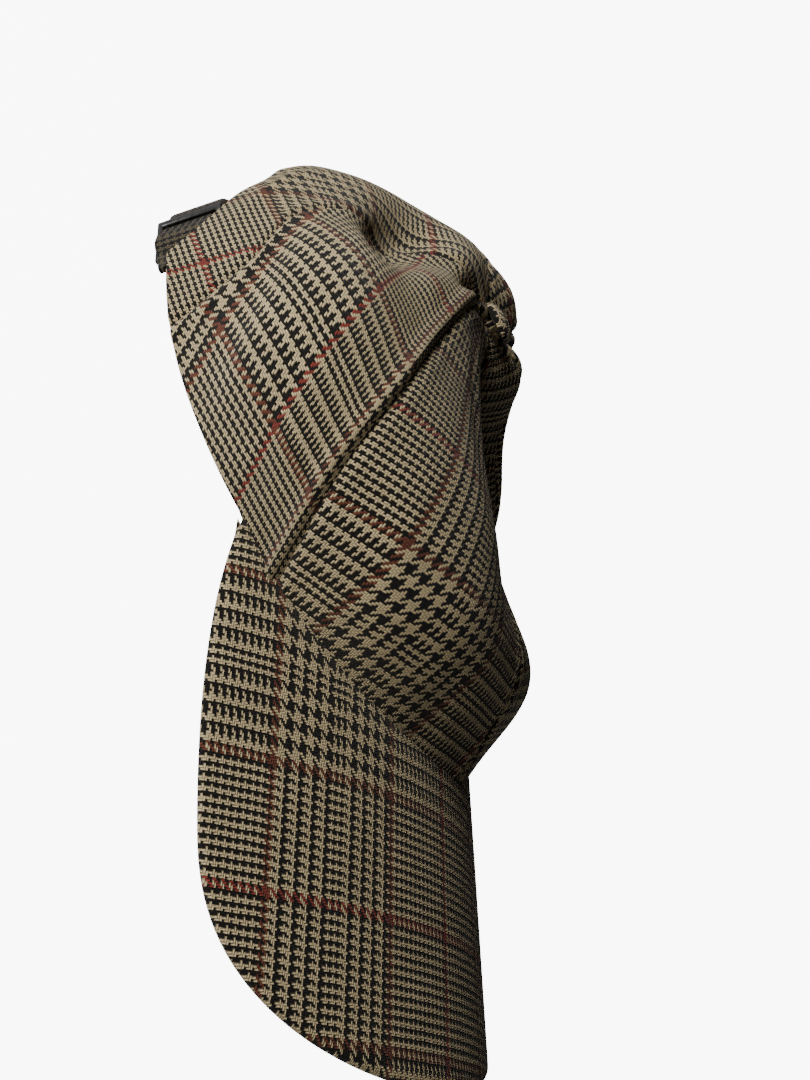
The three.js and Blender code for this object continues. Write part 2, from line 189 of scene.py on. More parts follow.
def round_the_rim(read, sign=1.0):
    values = [np.atleast_1d(np.array(read(rib), float)) for rib in RIBS]
    return np.array(values + [sign * value for value in values[-2:0:-1]])


FEET = np.array([rib["foot"] for rib in RIBS] + [360 - rib["foot"] for rib in RIBS[-2:0:-1]])
FEET = np.concatenate([FEET - 360, FEET, FEET + 360])
RIM_UPS = round_the_rim(lambda rib: rib["rim_up"])
OUTS = round_the_rim(lambda rib: rib["out"])
TURNS = round_the_rim(lambda rib: rib["turn"], -1.0)
UPS = round_the_rim(lambda rib: rib["up"])


def between_ribs(table, rib):
    whole = np.floor(rib).astype(int)
    part = (rib - whole)[..., None]
    return cubic(*[table[(whole + k) % RIB_COUNT] for k in (-1, 0, 1, 2)], part)


def rim_point(rib):
    whole = np.floor(rib).astype(int)
    around = cubic(*[FEET[whole + RIB_COUNT + k] for k in (-1, 0, 1, 2)], rib - whole)
    angle = np.radians(around)
    reach = np.where(np.cos(angle) > 0, RIM_FRONT, RIM_BACK)
    up = between_ribs(RIM_UPS, rib)[..., 0]
    return np.stack([-RIM_HALF_WIDTH * np.sin(angle), -reach * np.cos(angle), up], -1)


def smooth_crown(rib, climb):
    rib, climb = np.broadcast_arrays(np.asarray(rib, float), np.asarray(climb, float))
    foot = rim_point(rib)
    start = np.arctan2(-foot[..., 0], BUTTON_BACK - foot[..., 1])
    out = between_ribs(OUTS, rib)
    up = between_ribs(UPS, rib)
    angle = start[..., None] + np.radians(between_ribs(TURNS, rib))
    line = [foot]
    for k in range(STATIONS):
        sideways = -out[..., k] * np.sin(angle[..., k])
        backwards = BUTTON_BACK - out[..., k] * np.cos(angle[..., k])
        line.append(np.stack([sideways, backwards, up[..., k]], -1))
    line.append(np.broadcast_to(np.array([0, BUTTON_BACK, BUTTON_UP]), foot.shape))
    line = [2 * line[0] - line[1]] + line + [2 * line[-1] - line[-2]]
    line = np.stack(line)
    spans = STATIONS + 1
    span = np.clip(np.floor(climb * spans).astype(int), 0, spans - 1)
    part = (climb * spans - span)[..., None]
    places = tuple(np.indices(rib.shape))
    return cubic(*[line[(span + k,) + places] for k in range(4)], part)


def unit(vectors):
    return vectors / (np.linalg.norm(vectors, axis=-1, keepdims=True) + 1e-9)


def directions(surface, rib, climb):
    along = unit(surface(rib + STEP, climb) - surface(rib - STEP, climb))
    upward = surface(rib, np.minimum(climb + STEP, 1)) - surface(rib, np.maximum(climb - STEP, 0))
    upward = unit(upward - along * np.sum(upward * along, -1, keepdims=True))
    return along, upward, unit(np.cross(upward, along))


def crown(rib, climb):
    rib, climb = np.broadcast_arrays(np.asarray(rib, float), np.asarray(climb, float))
    point = smooth_crown(rib, climb)
    push = np.zeros(rib.shape)
    for fold in FOLDS:
        place = (np.array(fold["rib"]), np.array(fold["climb"]))
        along, upward, outward = directions(smooth_crown, *place)
        turn = math.radians(fold["angle"])
        offset = point - smooth_crown(*place)
        lengthwise = offset @ (along * math.cos(turn) + upward * math.sin(turn))
        across = offset @ (upward * math.cos(turn) - along * math.sin(turn))
        away = offset @ outward
        fall = np.abs(2 * lengthwise / fold["length"]) ** 3
        fall = fall + (across / fold["width"]) ** 2 + (away / FOLD_REACH) ** 2
        push += fold["depth"] * np.exp(-fall)
    fade = np.clip(np.minimum(climb, FOLD_FADE_END - climb) * FOLD_FADE_RATE, 0, 1)
    return point + directions(smooth_crown, rib, climb)[2] * (push * fade)[..., None]


# The bent peak's cylinder sets how high the cap lies, so its sizes come here.
PEAK_PITCH = math.radians(18.5)
PEAK_BEND = 109.3
PEAK_CREST = 19.6
PEAK_THICKNESS = 3.2
PEAK_REACH = 76.5
PEAK_HALF_WIDTH = 92.4
PEAK_WIDEST = 16.0
PEAK_SEWN = 81.4
PEAK_ROUNDNESS = 0.84
PEAK_SHOULDER = 0.58
PEAK_KNEE = 0.65
MIDDLE_TO_BRIM = 38.3
MM = 0.001


def peak_point(side, forward, depth):
    bend = side / PEAK_BEND
    radius = PEAK_BEND - depth
    drop = PEAK_BEND - radius * np.cos(bend)
    y = -RIM_FRONT - math.cos(PEAK_PITCH) * forward + math.sin(PEAK_PITCH) * drop
    z = PEAK_CREST - math.sin(PEAK_PITCH) * forward - math.cos(PEAK_PITCH) * drop
    return np.stack([-radius * np.sin(bend), y, z], -1)


def peak_seam(side):
    bend = side / PEAK_BEND
    across = PEAK_BEND * np.sin(bend)
    drop = PEAK_BEND * (1 - np.cos(bend))
    rim_y = -RIM_FRONT * np.sqrt(1 - (across / RIM_HALF_WIDTH) ** 2)
    return (-RIM_FRONT + math.sin(PEAK_PITCH) * drop - rim_y) / math.cos(PEAK_PITCH)


def peak_edge(q):
    a = np.abs(q)
    psi = np.minimum(a / PEAK_SHOULDER, 1) * math.pi / 2
    rise = (PEAK_REACH - PEAK_WIDEST) * np.maximum(np.cos(psi), 0) ** PEAK_ROUNDNESS
    t = np.clip((a - PEAK_SHOULDER) / (1 - PEAK_SHOULDER), 0, 1)
    corner = peak_seam(np.array(PEAK_SEWN))
    knee = PEAK_WIDEST + (corner - PEAK_WIDEST) * PEAK_KNEE
    side = (1 - t) ** 2 * PEAK_HALF_WIDTH + 2 * t * (1 - t) * PEAK_HALF_WIDTH + t * t * PEAK_SEWN
    forward = (1 - t) ** 2 * PEAK_WIDEST + 2 * t * (1 - t) * knee + t * t * corner
    front = a <= PEAK_SHOULDER
    side = np.where(front, PEAK_HALF_WIDTH * np.sin(psi), side)
    return np.sign(q) * side, np.where(front, PEAK_WIDEST + rise, forward)


def tip(points):
    c = math.cos(REST_PITCH)
    s = math.sin(REST_PITCH)
    x, y, z = points[..., 0], points[..., 1], points[..., 2]
    return np.stack([x, y * c + z * s, -y * s + z * c], -1)


half_edge = peak_edge(np.linspace(0, 1, 201))
LIFT = -tip(peak_point(*half_edge, PEAK_THICKNESS))[..., 2].min()


def settle(points):
    placed = tip(points) + np.array([0, MIDDLE_TO_BRIM, LIFT])
    placed[..., 2] = np.maximum(placed[..., 2], 0)
    return placed * MM


# The arched cut-out over the back strap, its half width in ribs and its height in climb
ARCH_HALF_WIDTH = 1.55
ARCH_HEIGHT = 0.33


def lower_edge(rib):
    d = np.abs(BACK_RIB - rib) / ARCH_HALF_WIDTH
    return np.where(d < 1, ARCH_HEIGHT * np.sqrt(np.maximum(1 - d * d, 0)), 0)


# Thread-true glen check: a 2/2 twill of cream, near-black, rust and red yarns, worked out
# from the yarn order, which is the same in warp and weft. UV maps hold millimetres of cloth.
THREAD = 0.55
ORDER = 180
COARSE_END = 72
FINE_GAP = (32, 40)
RUST_LINES = ((72, 76), (176, 180))
RED_LINE = (124, 128)
CREAM = (0.68, 0.54, 0.30, 1)
DARK = (0.007, 0.0062, 0.0045, 1)
RUST = (0.17, 0.05, 0.026, 1)
RED = (0.27, 0.042, 0.030, 1)
# A dark grey laid over the cloth, part lint and part painted shade in the creases and the hollow.
LINT_AND_SHADE_COLOUR = (0.075, 0.07, 0.057, 1)
LINT_AND_SHADE_MOST = 0.8
# Scales of the noises, for each millimetre of cloth
WOBBLE_SCALE = 0.35
FIBRE_SCALE = 3.2
MOTTLE_SCALE = 0.12
TANGLE_SCALE = 1.6
WOBBLE_MM = 0.5
NAP_HEIGHT = 0.00035
# How a layer between 0 and 1 is stretched, as (times, plus)
YARN_BOW = (0.6, 0.4)
# The yarns' height darkens their colour where they dip under each other: painted shade in the
# weave.
YARN_PAINTED_SHADE = (0.75, 0.38)
FIBRE_SHADE = (1.1, 0.45)
MOTTLE_SHADE = (0.5, 0.75)
TANGLE_SHADE = (3.0, -1.0)


def math_node(tree, operation, a, b=None, c=None):
    node = tree.nodes.new("ShaderNodeMath")
    node.operation = operation
    for socket, value in zip(node.inputs, (a, b, c)):
        if value is None:
            continue
        if isinstance(value, (int, float)):
            socket.default_value = value
        else:
            tree.links.new(value, socket)
    return node.outputs[0]


def mix_node(tree, factor, a, b):
    node = tree.nodes.new("ShaderNodeMix")
    node.data_type = "RGBA"
    for socket, value in ((node.inputs[0], factor), (node.inputs[6], a), (node.inputs[7], b)):
        if isinstance(value, (int, float, tuple)):
            socket.default_value = value
        else:
            tree.links.new(value, socket)
    return node.outputs[2]


def noise_node(tree, vector, scale, detail, roughness, output=0):
    node = tree.nodes.new("ShaderNodeTexNoise")
    node.inputs["Scale"].default_value = scale
    node.inputs["Detail"].default_value = detail
    node.inputs["Roughness"].default_value = roughness
    tree.links.new(vector, node.inputs["Vector"])
    return node.outputs[output]


def within(tree, value, low, high):
    above = math_node(tree, "GREATER_THAN", value, low - 0.5)
    below = math_node(tree, "LESS_THAN", value, high - 0.5)
    return math_node(tree, "MULTIPLY", above, below)


def yarn_colour(tree, thread):
    place = math_node(tree, "FLOORED_MODULO", thread, ORDER)
    coarse = math_node(tree, "LESS_THAN", place, COARSE_END - 0.5)
    coarse = math_node(tree, "SUBTRACT", coarse, within(tree, place, *FINE_GAP))
    in_eight = math_node(tree, "LESS_THAN", math_node(tree, "FLOORED_MODULO", place, 8), 3.5)
    in_four = math_node(tree, "LESS_THAN", math_node(tree, "FLOORED_MODULO", place, 4), 1.5)
    step = math_node(tree, "SUBTRACT", in_eight, in_four)
    dark = math_node(tree, "MULTIPLY_ADD", coarse, step, in_four)
    colour = mix_node(tree, dark, CREAM, DARK)
    rust = math_node(tree, "ADD", *[within(tree, place, *line) for line in RUST_LINES])
    colour = mix_node(tree, rust, colour, RUST)
    return mix_node(tree, within(tree, place, *RED_LINE), colour, RED)


def tweed(name, painted_shade, lint_and_shade_amount):
    look = bpy.data.materials.new(name)
    look.use_nodes = True
    tree = look.node_tree
    shader = tree.nodes["Principled BSDF"]
    uv = tree.nodes.new("ShaderNodeUVMap")
    uv.uv_map = "cloth"
    wobble = noise_node(tree, uv.outputs[0], WOBBLE_SCALE, 3.0, 0.5, output=1)
    shift = tree.nodes.new("ShaderNodeVectorMath")
    shift.operation = "MULTIPLY_ADD"
    tree.links.new(wobble, shift.inputs[0])
    shift.inputs[1].default_value = (WOBBLE_MM, WOBBLE_MM, 0)
    tree.links.new(uv.outputs[0], shift.inputs[2])
    split = tree.nodes.new("ShaderNodeSeparateXYZ")
    tree.links.new(shift.outputs[0], split.inputs[0])
    across = math_node(tree, "DIVIDE", split.outputs[0], THREAD)
    along = math_node(tree, "DIVIDE", split.outputs[1], THREAD)
    warp = math_node(tree, "FLOOR", across)
    weft = math_node(tree, "FLOOR", along)
    warp_part = math_node(tree, "SUBTRACT", across, warp)
    weft_part = math_node(tree, "SUBTRACT", along, weft)
    twill = math_node(tree, "FLOORED_MODULO", math_node(tree, "ADD", warp, weft), 4)
    weft_up = math_node(tree, "GREATER_THAN", twill, 1.5)

    warp_float = math_node(tree, "MULTIPLY", math_node(tree, "ADD", twill, weft_part), 0.5)
    weft_float = math_node(tree, "MULTIPLY", math_node(tree, "ADD", twill, warp_part), 0.5)
    weft_float = math_node(tree, "SUBTRACT", weft_float, 1.0)
    heights = []
    for part, run in ((warp_part, warp_float), (weft_part, weft_float)):
        rounding = math_node(tree, "SINE", math_node(tree, "MULTIPLY", part, math.pi))
        bow = math_node(tree, "SINE", math_node(tree, "MULTIPLY", run, math.pi))
        bow = math_node(tree, "MULTIPLY_ADD", bow, *YARN_BOW)
        heights.append(math_node(tree, "MULTIPLY", rounding, bow))
    rise = math_node(tree, "SUBTRACT", heights[1], heights[0])
    height = math_node(tree, "MULTIPLY_ADD", weft_up, rise, heights[0])

    colour = mix_node(tree, weft_up, yarn_colour(tree, warp), yarn_colour(tree, weft))
    fibres = noise_node(tree, uv.outputs[0], FIBRE_SCALE, 4.0, 0.75)
    mottle = noise_node(tree, uv.outputs[0], MOTTLE_SCALE, 3.0, 0.6)
    # The colour is multiplied by an overall painted shade, by painted shade where the yarns dip,
    # and by random tone from the fibres and mottle.
    depth = painted_shade
    for layer, stretch in ((height, YARN_PAINTED_SHADE), (fibres, FIBRE_SHADE), (mottle, MOTTLE_SHADE)):
        stretched = math_node(tree, "MULTIPLY_ADD", layer, *stretch)
        depth = math_node(tree, "MULTIPLY", stretched, depth)
    scaled = tree.nodes.new("ShaderNodeVectorMath")
    scaled.operation = "SCALE"
    tree.links.new(colour, scaled.inputs[0])
    tree.links.new(depth, scaled.inputs["Scale"])

    # The dark grey mix is part lint and part painted shade, by the amount each piece carries per
    # vertex.
    lint_and_shade_map = tree.nodes.new("ShaderNodeAttribute")
    lint_and_shade_map.attribute_name = "lint_and_shade"
    tangle = noise_node(tree, uv.outputs[0], TANGLE_SCALE, 6.0, 0.8)
    tangle = math_node(tree, "MULTIPLY_ADD", tangle, *TANGLE_SHADE)
    lint_and_shade = math_node(tree, "MULTIPLY", lint_and_shade_map.outputs["Fac"], math_node(tree, "MAXIMUM", tangle, 0.0))
    lint_and_shade = math_node(tree, "MULTIPLY", lint_and_shade, lint_and_shade_amount)
    lint_and_shade = math_node(tree, "MINIMUM", lint_and_shade, LINT_AND_SHADE_MOST)
    final = mix_node(tree, lint_and_shade, scaled.outputs[0], LINT_AND_SHADE_COLOUR)
    tree.links.new(final, shader.inputs["Base Color"])

    bump = tree.nodes.new("ShaderNodeBump")
    bump.inputs["Strength"].default_value = 0.75
    bump.inputs["Distance"].default_value = NAP_HEIGHT
    fuzzy = math_node(tree, "MULTIPLY_ADD", fibres, 0.5, height)
    tree.links.new(fuzzy, bump.inputs["Height"])
    tree.links.new(bump.outputs[0], shader.inputs["Normal"])
    shader.inputs["Roughness"].default_value = 0.92
    shader.inputs["Specular IOR Level"].default_value = 0.15
    shader.inputs["Sheen Weight"].default_value = 0.12
    shader.inputs["Sheen Roughness"].default_value = 0.5
    return look


crown_tweed = tweed("crown_tweed", 1.0, 0.5)


def gridded(name, columns, rows, place):
    bpy.ops.object.select_all(action="DESELECT")
    bpy.ops.mesh.primitive_grid_add(
        x_subdivisions=columns, y_subdivisions=rows, size=2, calc_uvs=True)
    piece = bpy.context.object
    piece.name = name
    flat = np.zeros(len(piece.data.vertices) * 3)
    piece.data.vertices.foreach_get("co", flat)
    flat = flat.reshape(-1, 3)
    piece.data.vertices.foreach_set("co", place(flat[:, 0], flat[:, 1]).reshape(-1))
    piece.data.update()
    return piece


def face_outwards(piece, hint):
    middle = len(piece.data.polygons) // 2
    if piece.data.polygons[middle].normal.dot(hint) < 0:
        piece.data.flip_normals()


def corner_uvs(mesh, name):
    mesh.uv_layers[0].name = name
    flat = np.zeros(len(mesh.loops) * 2)
    mesh.uv_layers[0].data.foreach_get("uv", flat)
    return flat.reshape(-1, 2)


def corner_vertices(mesh):
    vertices = np.zeros(len(mesh.loops), int)
    mesh.loops.foreach_get("vertex_index", vertices)
    return vertices


def set_lint_and_shade(mesh, amounts):
    lint_and_shade = mesh.attributes.new("lint_and_shade", "FLOAT", "POINT")
    lint_and_shade.data.foreach_set("value", amounts)


def thicken(piece, thickness, offset):
    solid = piece.modifiers.new("thickness", "SOLIDIFY")
    solid.thickness = thickness * MM
    solid.offset = offset
    bpy.ops.object.modifier_apply(modifier="thickness")


def run_lengths(points):
    return np.concatenate([[0], np.cumsum(np.linalg.norm(np.diff(points, axis=0), axis=1))])


def bell(value, middle, reach):
    return np.exp(-((value - middle) / reach) ** 2)


def ribs_from_front(rib):
    return np.abs((rib + BACK_RIB) % RIB_COUNT - BACK_RIB)


# grain: millimetres of cloth at the middle of the panel's lower edge. skew and stretch: how the
# slumped cloth is pulled off its square grain. pads: height of the padded edge at each seam.
PANELS = [
    {"name": "front_panel_right", "first_rib": 0, "grain": (10.7, 1.2), "skew": (0.12, 0.05),
     "stretch": (1, 1), "pads": (0.6, 0.3)},
    {"name": "side_panel_right", "first_rib": 2, "grain": (84.6, -20.7), "skew": (-0.178, -0.348),
     "stretch": (1, 1), "pads": (1.5, 0.6)},
    {"name": "back_panel_right", "first_rib": 4, "grain": (24.3, 6.0), "skew": (0, 0.2),
     "stretch": (1, 1.25), "pads": (0.4, 0.5)},
    {"name": "back_panel_left", "first_rib": 6, "grain": (24.3, 6.0), "skew": (0, -0.2),
     "stretch": (1, 1), "pads": (0.5, 0.4)},
    {"name": "side_panel_left", "first_rib": 8, "grain": (40.0, -20.7), "skew": (0, 0),
     "stretch": (1, 1), "pads": (0.6, 1.0)},
    {"name": "front_panel_left", "first_rib": 10, "grain": (88.3, 1.2), "skew": (0, 0),
     "stretch": (1, 1), "pads": (0.3, 0.6)},
]
SEAM_GROOVE = {"depth": 0.8, "width": 1.1}
# The side panel's cloth is pulled up in front of this line, towards the temple seam.
GATHER_FROM = -15.3
GATHER = 0.8
PAD_PLACE = 3.2
PAD_WIDTH = 2.0
SMOOTH_ANGLE = math.radians(50)
# The crown's lower edge reaches down over the peak's sewn edge, up to the peak's ends.
RIM_OVER_PEAK = 0.014
PEAK_ENDS = 2.5
PEAK_ENDS_RUN = 0.3


def panel_edge(rib):
    over_peak = np.clip((PEAK_ENDS - ribs_from_front(rib)) / PEAK_ENDS_RUN, 0, 1)
    return lower_edge(rib) - RIM_OVER_PEAK * over_peak


# Small creases from one place on the crown to another, as (rib, climb). A rib counts as
# RIB_WEIGHT of a climb. A crease's height is a sine, cut off by TAPER_FROM at both ends.
WRINKLES = [
    {"ends": ((4.35, 0.12), (4.9, 0.5)), "width": 0.10, "height": 0.9},
    {"ends": ((4.75, 0.1), (5.2, 0.45)), "width": 0.12, "height": -0.8},
    {"ends": ((3.1, 0.05), (3.6, 0.4)), "width": 0.16, "height": 0.8},
    {"ends": ((2.5, 0.03), (2.9, 0.3)), "width": 0.14, "height": -0.7},
    {"ends": ((3.3, 0.5), (4.0, 0.74)), "width": 0.10, "height": 0.8},
    {"ends": ((3.2, 0.74), (4.2, 0.8)), "width": 0.09, "height": -0.9},
    {"ends": ((3.3, 0.6), (4.4, 0.66)), "width": 0.2, "height": -2.6},
    {"ends": ((2.2, 0.6), (3.1, 0.7)), "width": 0.12, "height": 1.0},
    {"ends": ((1.3, 0.05), (1.7, 0.35)), "width": 0.16, "height": 0.8},
    {"ends": ((0.7, 0.02), (0.9, 0.2)), "width": 0.14, "height": -0.6},
    {"ends": ((1.0, 0.5), (1.6, 0.8)), "width": 0.13, "height": -0.6},
    {"ends": ((7.4, 0.2), (8.2, 0.5)), "width": 0.14, "height": 0.9},
    {"ends": ((8.8, 0.1), (9.2, 0.45)), "width": 0.14, "height": -0.8},
]
RIB_WEIGHT = 0.3
TAPER_FROM = 0.12


def wrinkled(rib, climb):
    lift = np.zeros(np.shape(rib))
    weights = np.array([RIB_WEIGHT, 1.0])
    place = np.stack([rib, climb], -1) * weights
    for wrinkle in WRINKLES:
        start, end = np.array(wrinkle["ends"]) * weights
        way = end - start
        share = np.clip((place - start) @ way / (way @ way), 0, 1)
        away = np.linalg.norm(place - start - share[..., None] * way, axis=-1)
        taper = np.sin(math.pi * (TAPER_FROM + (1 - 2 * TAPER_FROM) * share))
        lift = lift + wrinkle["height"] * taper * bell(away, 0, RIB_WEIGHT * wrinkle["width"])
    return lift


# A dark fuzzy grey, part lint and part painted shade, lies thickest in the crease over the peak,
# and as painted shade in the hollow behind the ridge, each as (middle, reach) in ribs and in climb.
CREASE_RIBS = (1.3, 0.8)
CREASE_CLIMB = (0, 0.1)
HOLLOW_RIBS = (3.8, 0.8)
HOLLOW_CLIMB = (0.64, 0.12)
HOLLOW_PAINTED_SHADE = 0.8
THIN_LINT = 0.12


def lint_and_shade_amounts(rib, climb):
    crease = bell(ribs_from_front(rib), *CREASE_RIBS) * bell(climb, *CREASE_CLIMB)
    hollow = bell(rib, *HOLLOW_RIBS) * bell(climb, *HOLLOW_CLIMB)
    return np.clip(crease + HOLLOW_PAINTED_SHADE * hollow + THIN_LINT, 0, 1)


for panel in PANELS:
    def panel_place(across, upward, panel=panel):
        share = (across + 1) / 2
        rib = panel["first_rib"] + 2 * share
        low = panel_edge(rib)
        climb = low + (PANEL_TIP - low) * (upward + 1) / 2
        along, _, outward = directions(crown, rib, climb)
        seams = [crown(np.full_like(rib, panel["first_rib"] + 2.0 * k), climb) for k in (0, 1)]
        points = crown(rib, climb)
        gaps = [np.linalg.norm(points - seam, axis=-1) for seam in seams]
        lift = -SEAM_GROOVE["depth"] * bell(np.minimum(*gaps), 0, SEAM_GROOVE["width"])
        for gap, height in zip(gaps, panel["pads"]):
            lift = lift + height * bell(gap, PAD_PLACE, PAD_WIDTH)
        lift = lift + wrinkled(rib, climb)
        sideways = (0.5 - share) * SEAM_GAP
        return settle(points + along * sideways[:, None] + outward * lift[:, None])

    piece = gridded(panel["name"] + "_cloth", COLUMNS, ROWS, panel_place)
    middle_rib = np.array(panel["first_rib"] + 1.0)
    outward = directions(crown, middle_rib, np.array(0.5))[2]
    face_outwards(piece, Vector(tip(outward)))

    bpy.ops.object.mode_set(mode="EDIT")
    bpy.ops.mesh.select_all(action="SELECT")
    bpy.ops.uv.select_all(action="SELECT")
    bpy.ops.uv.unwrap(method="CONFORMAL", margin=0)
    bpy.ops.object.mode_set(mode="OBJECT")
    mesh = piece.data
    corner_uv = corner_uvs(mesh, "cloth")
    corner_vertex = corner_vertices(mesh)
    vertex_uv = np.zeros((len(mesh.vertices), 2))
    vertex_uv[corner_vertex] = corner_uv
    places = np.zeros(len(mesh.vertices) * 3)
    mesh.vertices.foreach_get("co", places)
    places = places.reshape(-1, 3) / MM
    row = COLUMNS + 1
    low_middle = COLUMNS // 2
    high_middle = row * (ROWS // 3) + low_middle
    middle_line = slice(low_middle, high_middle + 1, row)
    scale = run_lengths(places[middle_line])[-1] / run_lengths(vertex_uv[middle_line])[-1]
    upwards = vertex_uv[high_middle] - vertex_uv[low_middle]
    upwards = upwards / np.linalg.norm(upwards)
    sideways = np.array([upwards[1], -upwards[0]])
    flat = (corner_uv - vertex_uv[low_middle]) * scale
    cloth_uv = np.stack([flat @ sideways, flat @ upwards], -1)
    start, end = [cloth_uv[np.argmax(corner_vertex == corner)] for corner in (0, COLUMNS)]
    if end[0] < start[0]:
        cloth_uv[:, 0] *= -1
    skewed = cloth_uv + cloth_uv[:, ::-1] * np.array(panel["skew"])
    if panel["name"] == "side_panel_right":
        skewed[:, 0] += GATHER * np.minimum(skewed[:, 0] - GATHER_FROM, 0)
    cloth_uv = skewed * np.array(panel["stretch"]) + np.array(panel["grain"])
    mesh.uv_layers[0].data.foreach_set("uv", cloth_uv.reshape(-1))

    rib = np.tile(panel["first_rib"] + np.linspace(0, 2, row), ROWS + 1)
    climb = np.repeat(np.linspace(0, PANEL_TIP, ROWS + 1), row)
    set_lint_and_shade(mesh, lint_and_shade_amounts(rib, climb))
    thicken(piece, CLOTH, -1)
    bpy.ops.object.shade_smooth_by_angle(angle=SMOOTH_ANGLE)
    piece.data.materials.append(crown_tweed)
    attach(piece, "root")
    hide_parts(panel["name"])


# Peak. A stiff board between two layers of the tweed, seamed round its free edge, bent over
# its whole width and sewn into the front of the rim.
PEAK_COLUMNS = 150
PEAK_ROWS = 150
PEAK_CORNER_TRIM = 0.985
PEAK_CLEAR = -1.2
PEAK_TURN = 0.06
PEAK_GRAIN = (-46.3, 25.5)
PEAK_SKEW = (-0.104, 0.18)
PEAK_STRETCH = 1.158
PEAK_CREASE = 5.0
PEAK_THIN_LINT = 0.1
peak_tweed = tweed("peak_tweed", 1.0, 0.5)


# The sheet runs from the sewn edge over the top, round the free edge and back below. PEAK_TURN
# is the share of its rows that goes round the free edge.
def peak_sheet(across, around):
    q = -across
    side = q * PEAK_SEWN
    edge_side, edge_forward = peak_edge(q * PEAK_CORNER_TRIM)
    inner = peak_seam(side) + PEAK_CLEAR
    half = PEAK_THICKNESS / 2
    share = np.abs(around)
    flat = np.clip((1 - share) / (1 - PEAK_TURN), 0, 1)
    bow = np.clip((PEAK_TURN - share) / PEAK_TURN, 0, 1) * math.pi / 2
    reach = (edge_forward - inner) - half
    forward = inner + reach * flat + half * np.sin(bow)
    depth = half - np.sign(around) * half * np.cos(bow)
    fan = (forward - inner) / (edge_forward - inner)
    return side + (edge_side - side) * fan, forward, depth


def peak_place(across, around):
    return settle(peak_point(*peak_sheet(across, around)))


peak = gridded("peak_cloth", PEAK_COLUMNS, PEAK_ROWS, peak_place)
mesh = peak.data
across, around = (corner_uvs(mesh, "cloth") * 2 - 1).T
side, forward, _ = peak_sheet(across, around)
grain_u = PEAK_STRETCH * side + PEAK_SKEW[0] * forward + PEAK_GRAIN[0]
grain_v = forward + PEAK_SKEW[1] * side + PEAK_GRAIN[1]
grain = np.stack([grain_u, grain_v], -1)
mesh.uv_layers[0].data.foreach_set("uv", grain.reshape(-1))
# Lint and painted shade gather along the crease where the peak meets the crown.
crease = np.exp(-(forward - peak_seam(np.clip(side, -PEAK_SEWN, PEAK_SEWN))) / PEAK_CREASE)
vertex_lint_and_shade = np.zeros(len(mesh.vertices))
vertex_lint_and_shade[corner_vertices(mesh)] = np.clip(PEAK_THIN_LINT + (1 - PEAK_THIN_LINT) * crease, 0, 1)
set_lint_and_shade(mesh, vertex_lint_and_shade)
face_outwards(peak, Vector((0, 0, 1)))
bpy.ops.object.shade_smooth_by_angle(angle=SMOOTH_ANGLE)
peak.data.materials.append(peak_tweed)
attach(peak, "root")
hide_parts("peak")


# Sweatband. Black satin tape sewn inside the rim, from one side of the arch round the front to
# the other. A plain curved strip with the tape's fine ribs along it.
SWEATBAND_DEPTH = 2.5
SWEATBAND_THICKNESS = 1.0
SWEATBAND_END = 3.95
SWEATBAND_LOW = 0.012
SWEATBAND_HIGH = 0.19
SWEATBAND_COLUMNS = 240
SWEATBAND_ROWS = 14
TAPE_LENGTH = 430.0
TAPE_WIDTH = 27.0
TAPE_RIBS = (0.8, 9.0, 1.0)
SATIN_DARK = (0.014, 0.014, 0.016, 1)
SATIN_PAINTED_SHEEN = (0.032, 0.031, 0.034, 1)


def satin_place(across, upward):
    rib = SWEATBAND_END * across
    climb = SWEATBAND_LOW + (SWEATBAND_HIGH - SWEATBAND_LOW) * (upward + 1) / 2
    outward = directions(crown, rib, climb)[2]
    return settle(crown(rib, climb) - outward * SWEATBAND_DEPTH)


satin = bpy.data.materials.new("satin")
satin.use_nodes = True
tree = satin.node_tree
satin_shader = tree.nodes["Principled BSDF"]
satin_uv = tree.nodes.new("ShaderNodeUVMap")
satin_uv.uv_map = "tape"
satin_stretch = tree.nodes.new("ShaderNodeVectorMath")
satin_stretch.operation = "MULTIPLY"
satin_stretch.inputs[1].default_value = TAPE_RIBS
tree.links.new(satin_uv.outputs[0], satin_stretch.inputs[0])
ribbing = noise_node(tree, satin_stretch.outputs[0], 1.0, 3.0, 0.6)
satin_bump = tree.nodes.new("ShaderNodeBump")
satin_bump.inputs["Strength"].default_value = 0.25
satin_bump.inputs["Distance"].default_value = 0.0002
tree.links.new(ribbing, satin_bump.inputs["Height"])
tree.links.new(satin_bump.outputs[0], satin_shader.inputs["Normal"])
# The tape's ribs are streaked with a paler colour: painted sheen.
painted_sheen = mix_node(tree, ribbing, SATIN_DARK, SATIN_PAINTED_SHEEN)
tree.links.new(painted_sheen, satin_shader.inputs["Base Color"])
satin_shader.inputs["Roughness"].default_value = 0.42
satin_shader.inputs["Anisotropic"].default_value = 0.5

sweatband = gridded("sweatband_tape", SWEATBAND_COLUMNS, SWEATBAND_ROWS, satin_place)
mesh = sweatband.data
tape_uv = corner_uvs(mesh, "tape") * np.array([TAPE_LENGTH, TAPE_WIDTH])
mesh.uv_layers[0].data.foreach_set("uv", tape_uv.reshape(-1))
face_outwards(sweatband, Vector((0, -1, 0)))
thicken(sweatband, SWEATBAND_THICKNESS, -1)
bpy.ops.object.shade_smooth_by_angle(angle=SMOOTH_ANGLE)
sweatband.data.materials.append(satin)
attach(sweatband, "root")
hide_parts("sweatband")


